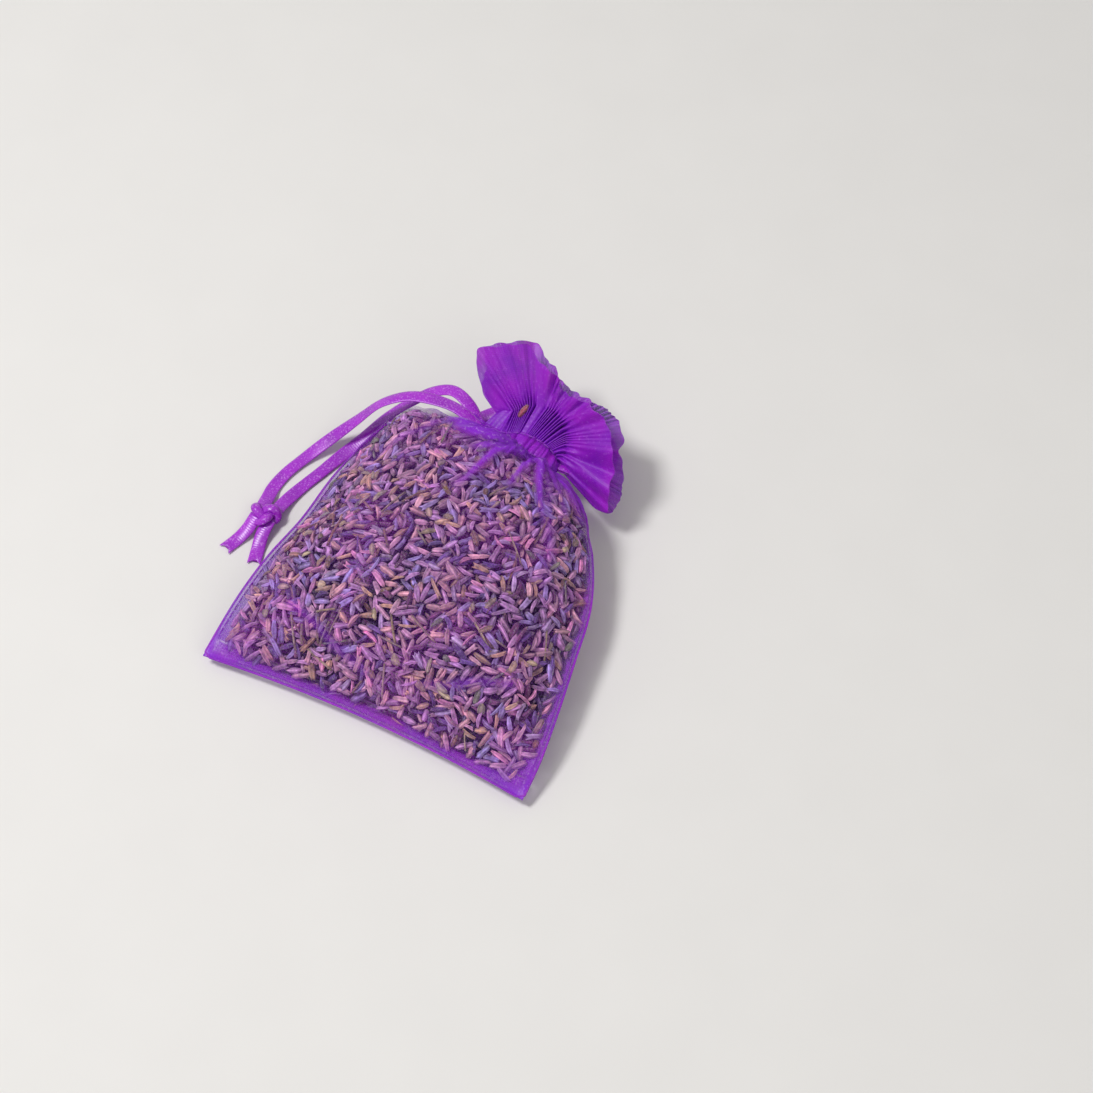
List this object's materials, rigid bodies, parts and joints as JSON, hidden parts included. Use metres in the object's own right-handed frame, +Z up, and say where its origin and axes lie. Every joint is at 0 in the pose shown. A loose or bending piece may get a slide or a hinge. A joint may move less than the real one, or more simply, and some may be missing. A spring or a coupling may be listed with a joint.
{
  "type": "drawstring lavender sachet",
  "caption": "Sheer violet drawstring bag filled with dried lavender buds, lying on its back, with a gathered neck, a fanned frill and ribbon pull loops; scents drawers and wardrobes.",
  "frame": {"origin": "on the floor, in the middle of the flat patch that the bag's back rests on", "axes": "+X across the bag, +Y from the bottom seam to the mouth, +Z up out of the front face"},
  "size_m": [0.1134, 0.1215, 0.0355],
  "materials": {
    "organza": "sheer violet organza, one layer",
    "gathered_organza": "violet organza in several layers, dense and lightly glossy",
    "satin_ribbon": "violet satin, soft sheen",
    "sewing_thread": "violet polyester thread",
    "dried_lavender": "dried buds, matt grey violet to tan"
  },
  "bodies": {
    "bag": {"back_casing": "gathered_organza", "back_facing": "gathered_organza", "back_panel": "organza", "bottom_seam_allowance": "gathered_organza", "bottom_seam_stitching": "sewing_thread", "front_casing": "gathered_organza", "front_facing": "gathered_organza", "front_panel": "organza", "lavender_bud_01": "dried_lavender", "lavender_bud_02": "dried_lavender", "lavender_bud_03": "dried_lavender", "lavender_bud_04": "dried_lavender", "lavender_bud_05": "dried_lavender", "lavender_bud_06": "dried_lavender", "lavender_bud_07": "dried_lavender", "lavender_bud_08": "dried_lavender", "lavender_bud_09": "dried_lavender", "lavender_bud_10": "dried_lavender", "lavender_bud_11": "dried_lavender", "lavender_bud_12": "dried_lavender", "lavender_bud_13": "dried_lavender", "lavender_bud_14": "dried_lavender", "lavender_bud_15": "dried_lavender", "lavender_bud_16": "dried_lavender", "lavender_bud_17": "dried_lavender", "lavender_bud_18": "dried_lavender", "lavender_bud_19": "dried_lavender", "lavender_bud_20": "dried_lavender", "lavender_bud_21": "dried_lavender", "lavender_bud_22": "dried_lavender", "lavender_bud_23": "dried_lavender", "lavender_bud_24": "dried_lavender", "lavender_fill": "dried_lavender", "left_ribbon_run": "satin_ribbon", "left_seam_allowance": "gathered_organza", "left_seam_stitching": "sewing_thread", "lower_casing_stitching": "sewing_thread", "right_ribbon_run": "satin_ribbon", "right_seam_allowance": "gathered_organza", "right_seam_stitching": "sewing_thread", "upper_casing_stitching": "sewing_thread"},
    "frill": {"front_frill": "gathered_organza", "back_frill": "gathered_organza", "neck_gather": "gathered_organza"},
    "left_pull": {"left_pull_front_strand": "satin_ribbon", "left_pull_back_strand": "satin_ribbon", "left_pull_knot": "satin_ribbon", "left_pull_outer_tail": "satin_ribbon", "left_pull_inner_tail": "satin_ribbon"},
    "right_pull": {"right_pull_front_strand": "satin_ribbon", "right_pull_back_strand": "satin_ribbon", "right_pull_knot": "satin_ribbon", "right_pull_outer_tail": "satin_ribbon", "right_pull_inner_tail": "satin_ribbon"}
  },
  "joints": [
    {"name": "frill_tilt", "type": "hinge", "parent": "bag", "child": "frill", "pos_m": [0.003, 0.0423, 0.015], "axis": [1, 0, 0], "range_deg": [-40, 65], "deforming": ["neck_gather"]},
    {"name": "left_draw", "type": "slide", "parent": "bag", "child": "left_pull", "axis": [-1, 0, 0], "range_m": [0, 0.008]},
    {"name": "right_draw", "type": "slide", "parent": "bag", "child": "right_pull", "axis": [1, 0, 0], "range_m": [0, 0.008]}
  ]
}
